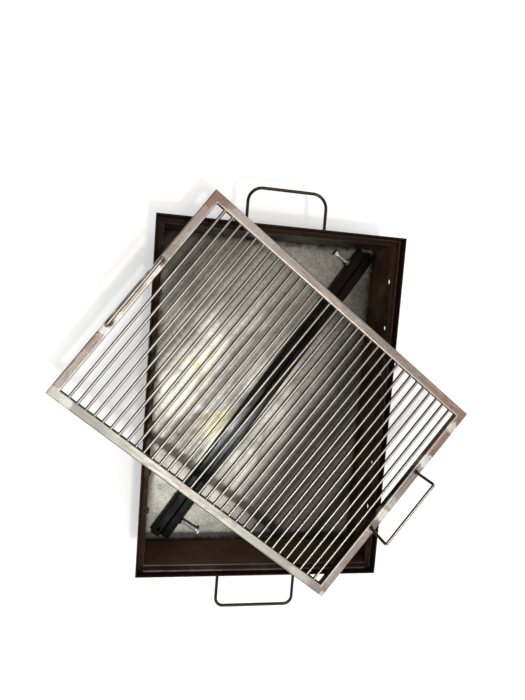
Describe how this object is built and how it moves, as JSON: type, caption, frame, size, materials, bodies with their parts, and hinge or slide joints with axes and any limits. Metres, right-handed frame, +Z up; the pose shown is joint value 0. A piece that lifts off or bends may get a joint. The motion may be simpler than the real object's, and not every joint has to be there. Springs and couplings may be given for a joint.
{
  "type": "hibachi grill",
  "caption": "Rectangular steel charcoal tray with an angle rim and rod handles, a loose rod grate lying across it and two loose posts stowed inside.",
  "frame": {"origin": "centre of the underside of the tray floor, on the ground", "axes": "+Z up; +Y along the tray's long side, towards the handle drawn at the top of the picture; +X to the right"},
  "size_m": [0.835, 0.842, 0.233],
  "materials": {
    "floor_steel": "bare, stained",
    "wall_paint": "satin black, browned by heat",
    "rim_paint": "satin black",
    "handle_paint": "satin black",
    "stainless": "brushed",
    "post_paint": "satin black",
    "nut_steel": "dull",
    "zinc": "bright zinc"
  },
  "bodies": {
    "tray": {"tray_floor": "floor_steel", "long_wall_left": "wall_paint", "long_wall_right": "wall_paint", "short_wall_near": "wall_paint", "short_wall_far": "wall_paint", "rim_angle_left": "rim_paint", "rim_angle_right": "rim_paint", "rim_angle_near": "rim_paint", "rim_angle_far": "rim_paint", "tray_handle_near": "handle_paint", "tray_handle_far": "handle_paint"},
    "grate": {"grate_tube_long_near": "stainless", "grate_tube_long_far": "stainless", "grate_tube_short_left": "stainless", "grate_tube_short_right": "stainless", "grate_rods": "stainless", "grate_handle_left": "stainless", "grate_handle_right": "stainless"},
    "post_left": {"post_tube_left": "post_paint", "post_nut_left": "nut_steel"},
    "post_right": {"post_tube_right": "post_paint", "post_nut_right": "nut_steel"},
    "screw_left": {"clamp_screw_left": "zinc"},
    "screw_right": {"clamp_screw_right": "zinc"}
  },
  "joints": [
    {"name": "grate_lift", "type": "slide", "parent": "tray", "child": "grate", "axis": [0, 0, 1], "range_m": [0, 0.3]},
    {"name": "post_left_lift", "type": "slide", "parent": "tray", "child": "post_left", "axis": [0, 0, 1], "range_m": [0, 0.1]},
    {"name": "post_right_lift", "type": "slide", "parent": "tray", "child": "post_right", "axis": [0, 0, 1], "range_m": [0, 0.1]},
    {"name": "screw_left_turn", "type": "hinge", "parent": "post_left", "child": "screw_left", "pos_m": [0.17197, 0.30025, 0.012], "axis": [-0.8396, 0.5432, 0], "continuous": true},
    {"name": "screw_right_turn", "type": "hinge", "parent": "post_right", "child": "screw_right", "pos_m": [-0.15858, -0.28508, 0.012], "axis": [0.8396, -0.5432, 0], "continuous": true}
  ]
}
